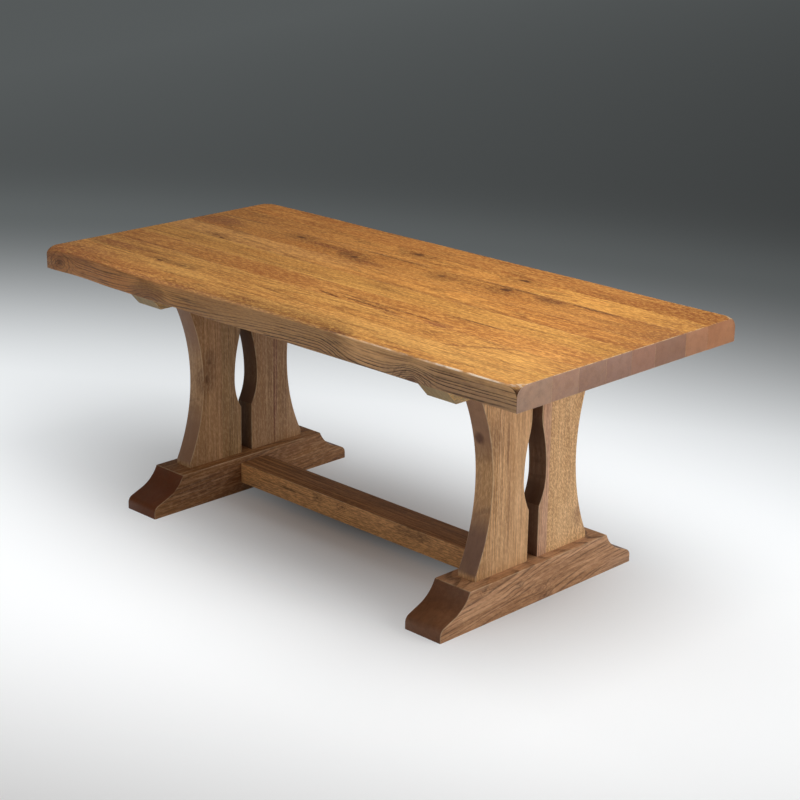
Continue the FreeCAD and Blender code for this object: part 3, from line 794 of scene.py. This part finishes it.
def legSolid(x):  # a back leg of the trestle at x
    s = legShape
    outer, inner = s["pairWidth"] / 2, s["slot"] / 2
    low, high = s["low"], s["high"]
    belly = Vector((0, inner + s["bellyDepth"], low + s["belly"]))
    neck = Vector((0, inner, low + s["neck"]))
    shoulder = Vector((0, inner, low + s["shoulder"]))
    turn = belly.lerp(neck, s["turnShare"])

    def leaning(a, b):  # twice the lean of the line from a to b is the turn of an arc that leaves upright
        return 2 * math.atan2(abs(b.y - a.y), abs(b.z - a.z))

    bm = bmesh.new()
    first = bm.verts.new((x - s["thickness"] / 2, outer, low))
    at = lineTo(bm, first, outer, low + s["straight"])
    hollow = high - low - 2 * s["straight"]
    at = arcTo(bm, at, outer, high - s["straight"], -4 * math.atan(2 * s["waist"] / hollow), s["waistSteps"])
    at = lineTo(bm, at, outer, high)
    at = lineTo(bm, at, inner, high)
    at = lineTo(bm, at, neck.y, neck.z)
    at = arcTo(bm, at, turn.y, turn.z, leaning(turn, neck), s["neckSteps"])
    at = arcTo(bm, at, belly.y, belly.z, -leaning(belly, turn), s["bellySteps"])
    at = arcTo(bm, at, shoulder.y, shoulder.z, -leaning(shoulder, belly), s["shoulderSteps"])
    at = lineTo(bm, at, inner, low)
    bm.edges.new((at, first))
    grow(bm, bmesh.ops.edgeloop_fill(bm, edges=bm.edges[:])["faces"], s["thickness"])
    arrises = [edge for edge in sharpEdges(bm) if not lies(edge, 2, low) and not lies(edge, 2, high)]
    ease(bm, arrises, s["arris"])
    return bm


def legBoard(node):
    s = legShape
    low, high = corners(node)
    front = low.y < 0
    bm = legSolid((low.x + high.x) / 2)
    if front:
        bmesh.ops.scale(bm, vec=(1, -1, 1), verts=bm.verts)
        bmesh.ops.recalc_face_normals(bm, faces=bm.faces[:])
    bmesh.ops.translate(bm, vec=(0, trestleBack, 0), verts=bm.verts)
    # the glue line is the node's inner or outer limit
    away = 1 if front == ("outer" in node) else -1
    cutAway(bm, (0, high.y if away > 0 else low.y, 0), (0, away, 0))
    # painted shade: the slot between the legs is darkened
    hewnAndShade = bm.loops.layers.float.new("hewnAndShade")
    slotHalf = s["slot"] / 2 + s["bellyDepth"] + s["slotMargin"]
    inSlot = [face for face in bm.faces if abs(face.normal.x) < s["slotFacing"]
              and abs(face.calc_center_median().y - trestleBack) < slotHalf]
    mark(inSlot, hewnAndShade, s["slotShade"])
    return bm


for node, look in legLooks.items():
    finishPiece(legBoard(node), node, {**legLook, **look})
print("legs done")


# feet

footShape = {"flat": 0.554, "toeRun": 0.051, "toeSlope": math.radians(22), "toeHeight": 0.033,
             "nose": 0.022, "noseSteps": 8, "hollowSteps": 12, "arris": 0.0018}
footLook = {
    "along": "y", "light": "d8a67d", "dark": "af7d53", "line": "4e2e1a", "end": "6e472c", "pore": "6c4426",
    "gleam": "dcb084", "streak": "8e6440", "endLow": 0.12, "endHigh": 0.42, "spacing": 0.013,
    "lineDepth": 0.7, "fleckDepth": 0.16, "wearAndHighlightDepth": 0.3, "streakDepth": 0.64, "wander": 0.1,
    "endCloud": 0.7, "dash": (60.0, 200.0, 200.0)}
footLooks = {
    # the left foot is tinted darker than the right: partly its own tone, partly painted shade
    "left_foot": {
        "shift": 21.0, "pith": (-0.575, 0.012, -0.1), "lean": (0.0, 0.0, 0.1), "light": "946433",
        "dark": "764b24", "end": "6b3409", "spacing": 0.014},
    "right_foot": {
        "shift": 22.5, "pith": (0.6, 0.012, -0.08), "lean": (0.03, 0.0, 0.15),
        "knots": [
            ((0.638, -0.21, 0.095), 0.011, 1.5, 0.012, 0.6, 2.0),
            ((0.638, 0.01, 0.033), 0.018, 2.0, 0.016, 0.5, 2.5),
            ((0.638, 0.032, 0.008), 0.012, 2.0, 0.01, 0.5, 0.0),
            ((0.638, -0.072, 0.07), 0.008, 1.5, 0.008, 0.6, 0.0)]},
}


def footMesh(node):
    s = footShape
    low, high = corners(node)
    tip, flat = (high.y - low.y) / 2, s["flat"] / 2
    slope, toe = s["toeSlope"], s["toeHeight"]
    square = math.pi / 2 - slope
    noseRun = s["nose"] * math.tan(square / 2)
    bm = bmesh.new()
    first = bm.verts.new((low.x, 0, 0))
    at = lineTo(bm, first, tip, 0)
    at = lineTo(bm, at, tip, toe - noseRun)
    noseY, noseZ = tip - noseRun * math.cos(slope), toe + noseRun * math.sin(slope)
    at = arcTo(bm, at, noseY, noseZ, square, s["noseSteps"])
    hollowY, hollowZ = tip - s["toeRun"], toe + s["toeRun"] * math.tan(slope)
    at = lineTo(bm, at, hollowY, hollowZ)
    rise = math.atan2(high.z - hollowZ, hollowY - flat)
    at = arcTo(bm, at, flat, high.z, -2 * (rise - slope), s["hollowSteps"])
    at = lineTo(bm, at, 0, high.z)
    bm.edges.new((at, first))
    half = bmesh.ops.edgeloop_fill(bm, edges=bm.edges[:])["faces"]
    # the other half is a mirror image
    bmesh.ops.mirror(bm, geom=bm.verts[:] + bm.edges[:] + half, axis='Y', merge_dist=tiny)
    middle = [edge for edge in bm.edges if lies(edge, 1, 0.0)]
    bmesh.ops.dissolve_edges(bm, edges=middle, use_verts=True)
    grow(bm, bm.faces[:], high.x - low.x)
    ease(bm, [edge for edge in sharpEdges(bm) if not lies(edge, 2, 0.0)], s["arris"])
    bmesh.ops.translate(bm, vec=(0, trestleBack, 0), verts=bm.verts)
    return bm


for node, look in footLooks.items():
    finishPiece(footMesh(node), node, {**footLook, **look})
print("feet done")


# stretcher

stretcherShape = {"halfSpan": 0.512, "arris": 0.0016}
# the stretcher's tones are darkened, a painted shade on its top, and its side tone lightens its front:
# painted light
stretcherLook = {
    "light": "9f714b", "dark": "7d532e", "line": "46290f", "pore": "52331a", "gleam": "e0a868",
    "streak": "5e3c20", "side": "e8ab6e", "sideToneAndLightDepth": 0.75, "streakDepth": 0.6, "wearAndHighlightDepth": 0.25,
    "end": "7a5236", "shift": 24.0, "pith": (0.0, -0.25, 0.3), "lean": (0.0, 0.0, 0.01), "spacing": 0.005,
    "lineDepth": 0.35, "fleckDepth": 0.12, "sideFleck": 0.32, "dash": (60.0, 300.0, 300.0),
    "knots": [
        ((-0.07, -0.039, 0.075), 0.012, 1.6, 0.014, 0.7, 2.0),
        ((-0.175, -0.039, 0.076), 0.01, 1.6, 0.01, 0.6, 0.0),
        ((0.19, -0.039, 0.08), 0.014, 2.5, 0.016, 0.4, 0.0),
        ((0.24, -0.039, 0.078), 0.012, 2.5, 0.014, 0.4, 0.0)],
    "patches": [((-0.296, -0.039, 0.067), (0.05, 0.02, 0.004), 0.5, "5a3820", 0.7)]}


def stretcherMesh(node):
    s = stretcherShape
    low, high = corners(node)
    low.x, high.x = -s["halfSpan"], s["halfSpan"]
    bm = boxMesh(low, high)
    ease(bm, [edge for edge in bm.edges if edge.calc_length() > s["halfSpan"]], s["arris"])
    return bm


finishPiece(stretcherMesh("stretcher"), "stretcher", stretcherLook)
print("stretcher done")


# bearers and fixings keep their solids

# the bearers take a paler oak than the rest
bearerLook = {
    "along": "y", "light": "e9cc9c", "dark": "ba9f72", "line": "6d5a43", "pore": "6a573f", "end": "8c7a60",
    "streak": "8c7858", "shift": 26.0, "pith": (0.0, 0.0, 0.5), "lineDepth": 0.3, "endLow": 0.5,
    "rough": 0.6}
zincLook = {
    "light": "a9abad", "dark": "8d9093", "dull": "70706c", "spangle": 420.0, "dullRange": (0.55, 0.75),
    "cloud": ((90.0, 90.0, 90.0), 4.0), "rough": 0.22, "roughRange": 0.3, "bump": 0.2, "bumpDepth": 0.0003}


def zincMaterial():
    s = zincLook
    material, tree, shader, place = startMaterial("zinc_finish")
    spangle = addNode(tree, "TexVoronoi", {"Vector": place, "Scale": s["spangle"]}).outputs["Color"]
    spangle = addNode(tree, "SeparateColor", {0: spangle}).outputs[0]
    cloud = noiseAt(tree, place, *s["cloud"])[0]
    color = mixColor(tree, spangle, tint(s["light"]), tint(s["dark"]))
    color = mixColor(tree, smoothStep(tree, cloud, *s["dullRange"]), color, tint(s["dull"]))
    feed(tree, shader["Base Color"], color)
    feed(tree, shader["Roughness"], calc(tree, 'MULTIPLY_ADD', cloud, s["roughRange"], s["rough"]))
    shader["Metallic"].default_value = 1.0
    bump = addNode(tree, "Bump", {"Height": cloud, "Strength": s["bump"], "Distance": s["bumpDepth"]})
    feed(tree, shader["Normal"], bump.outputs[0])
    return material


dressing = {oakMaterial("pale_oak_finish", **bearerLook): ("left_bearer", "right_bearer"),
            zincMaterial(): ("top_fixing_screws", "top_fixing_washers")}
for material, nodes in dressing.items():
    for node in nodes:
        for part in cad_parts[node].material_slots:
            part.material = material
print("bearers and fixings done")


# floor, lights and camera

floorShape = {
    "size": 60.0, "poolCentre": (1.25, -4.66, 0.0), "poolEdge": 3.0, "poolEnd": 8.2, "near": 0.8,
    "far": 0.06, "glow": 0.945, "glowSlope": (-0.292, 0.48, 0.0), "farGlow": 0.034,
    "farSlope": (-0.0078, -0.002, 0.0), "toe": 0.046, "toeAt": 8.0, "toeWidth": 0.85,
    "shadeCentre": (-0.1, 0.04, 0.0), "shadeSize": (1.28, 0.52, 1.0), "glowTint": (0.965, 1.0, 1.025),
    "farTint": (0.93, 1.03, 1.04), "mostGlow": 1.6, "farRange": (0.03, 0.086)}


def directSight(tree):  # rays that show the background: to the camera, mirrored or through glass
    rays = addNode(tree, "LightPath").outputs
    mirrored = calc(tree, 'MAXIMUM', rays["Is Glossy Ray"], rays["Is Transmission Ray"])
    return calc(tree, 'MAXIMUM', rays["Is Camera Ray"], mirrored)


def makeFloor():  # pale paper with a painted pool of light that falls off into a darker background
    s = floorShape
    material, tree, shader, place = startMaterial("floor_paper")
    far = vectorCalc(tree, 'LENGTH', vectorCalc(tree, 'SUBTRACT', place, s["poolCentre"]))
    pool = fallOff(tree, far, s["poolEdge"], s["poolEnd"])
    paper = calc(tree, 'MULTIPLY_ADD', pool, s["near"] - s["far"], s["far"])
    feed(tree, shader["Base Color"], addNode(tree, "CombineColor", {0: paper, 1: paper, 2: paper}).outputs[0])

    def sloping(level, slope, least, most):
        value = calc(tree, 'ADD', vectorCalc(tree, 'DOT_PRODUCT', place, slope), level)
        return calc(tree, 'MINIMUM', calc(tree, 'MAXIMUM', value, least), most)

    # a glow that lights nothing brightens the paper away from the table; held back round the table it paints
    # a shadow there
    slope = sloping(s["glow"], s["glowSlope"], 0.0, s["mostGlow"])
    near = vectorCalc(tree, 'DIVIDE', vectorCalc(tree, 'SUBTRACT', place, s["shadeCentre"]), s["shadeSize"])
    outsidePaintedShadow = inverse(tree, bell(tree, vectorCalc(tree, 'DOT_PRODUCT', near, near)))
    glow = times(tree, times(tree, slope, outsidePaintedShadow), pool)
    farGlow = times(tree, inverse(tree, pool), sloping(s["farGlow"], s["farSlope"], *s["farRange"]))
    toe = calc(tree, 'DIVIDE', calc(tree, 'SUBTRACT', far, s["toeAt"]), s["toeWidth"])
    toe = times(tree, bell(tree, times(tree, toe, toe)), calc(tree, 'MINIMUM', slope, 1.0))
    farGlow = calc(tree, 'MULTIPLY_ADD', toe, s["toe"], farGlow)
    cool = [calc(tree, 'MULTIPLY_ADD', glow, close, times(tree, farGlow, away))
            for close, away in zip(s["glowTint"], s["farTint"])]
    glowColor = addNode(tree, "CombineColor", dict(enumerate(cool))).outputs[0]
    feed(tree, shader["Emission Color"], glowColor)
    feed(tree, shader["Emission Strength"], directSight(tree))
    shader["Roughness"].default_value = 1.0
    shader["Specular IOR Level"].default_value = 0.0
    bm = bmesh.new()
    bmesh.ops.create_grid(bm, x_segments=1, y_segments=1, size=s["size"] / 2)
    floor = toObject(bm, "studio_floor", material)


softboxes = {
    "key": {"place": (1.05, -0.1, 2.6), "aim": (0.2, -0.05, 0.6), "size": (1.6, 1.6), "power": 36.0},
    "side": {"place": (3.3, 1.1, 1.3), "aim": (0.5, 0.0, 0.45), "size": (2.0, 1.6), "power": 42.0},
    "back": {"place": (0.8, 2.5, 3.0), "aim": (0.2, 0.0, 0.5), "size": (2.5, 2.5), "power": 20.0},
    "front": {"place": (0.3, -3.0, 1.5), "aim": (0.1, -0.3, 0.6), "size": (2.4, 1.4), "power": 13.0},
    "strip": {"place": (-1.6, -0.3, 2.9), "aim": (0.4, -0.3, 0.7), "size": (0.3, 2.0), "power": 6.0},
}
roomLight = {"strength": 0.20, "seen": -0.11}  # the camera sees the same grey as the far floor


def makeLights():
    for name, s in softboxes.items():
        lamp = bpy.data.lights.new(name, 'AREA')
        lamp.shape = 'RECTANGLE'
        lamp.size, lamp.size_y = s["size"]
        lamp.energy = s["power"]
        box = bpy.data.objects.new(name, lamp)
        box.location = s["place"]
        box.rotation_euler = (Vector(s["aim"]) - Vector(s["place"])).to_track_quat('-Z', 'Y').to_euler()
        scene.collection.objects.link(box)
    world = bpy.data.worlds.new("studio")
    world.use_nodes = True
    tree = world.node_tree
    backdrop = tree.nodes["Background"]
    backdrop.inputs["Color"].default_value = tint("ffffff")
    seen = calc(tree, 'MULTIPLY_ADD', directSight(tree), roomLight["seen"], roomLight["strength"])
    feed(tree, backdrop.inputs["Strength"], seen)
    scene.world = world


cameraShape = {"azimuth": 44.262, "elevation": 18.525, "roll": 0.905, "distance": 5.4948,
               "target": (-0.0080, 0.1290, 0.3787), "lens": 86.140, "sensor": 36.0}


def makeCamera():
    s = cameraShape
    a, e, r = (math.radians(s[name]) for name in ("azimuth", "elevation", "roll"))
    back = Vector((math.sin(a) * math.cos(e), -math.cos(a) * math.cos(e), math.sin(e)))
    right = Vector((math.cos(a), math.sin(a), 0))
    up = back.cross(right)
    rolledRight = right * math.cos(r) + up * math.sin(r)
    rolledUp = up * math.cos(r) - right * math.sin(r)
    lens = bpy.data.cameras.new("camera")
    lens.lens, lens.sensor_width = s["lens"], s["sensor"]
    camera = bpy.data.objects.new("camera", lens)
    turn = Matrix((rolledRight, rolledUp, back)).transposed().to_4x4()
    camera.matrix_world = Matrix.Translation(Vector(s["target"]) + back * s["distance"]) @ turn
    scene.collection.objects.link(camera)
    scene.camera = camera


makeFloor()
makeLights()
makeCamera()
print("studio done")
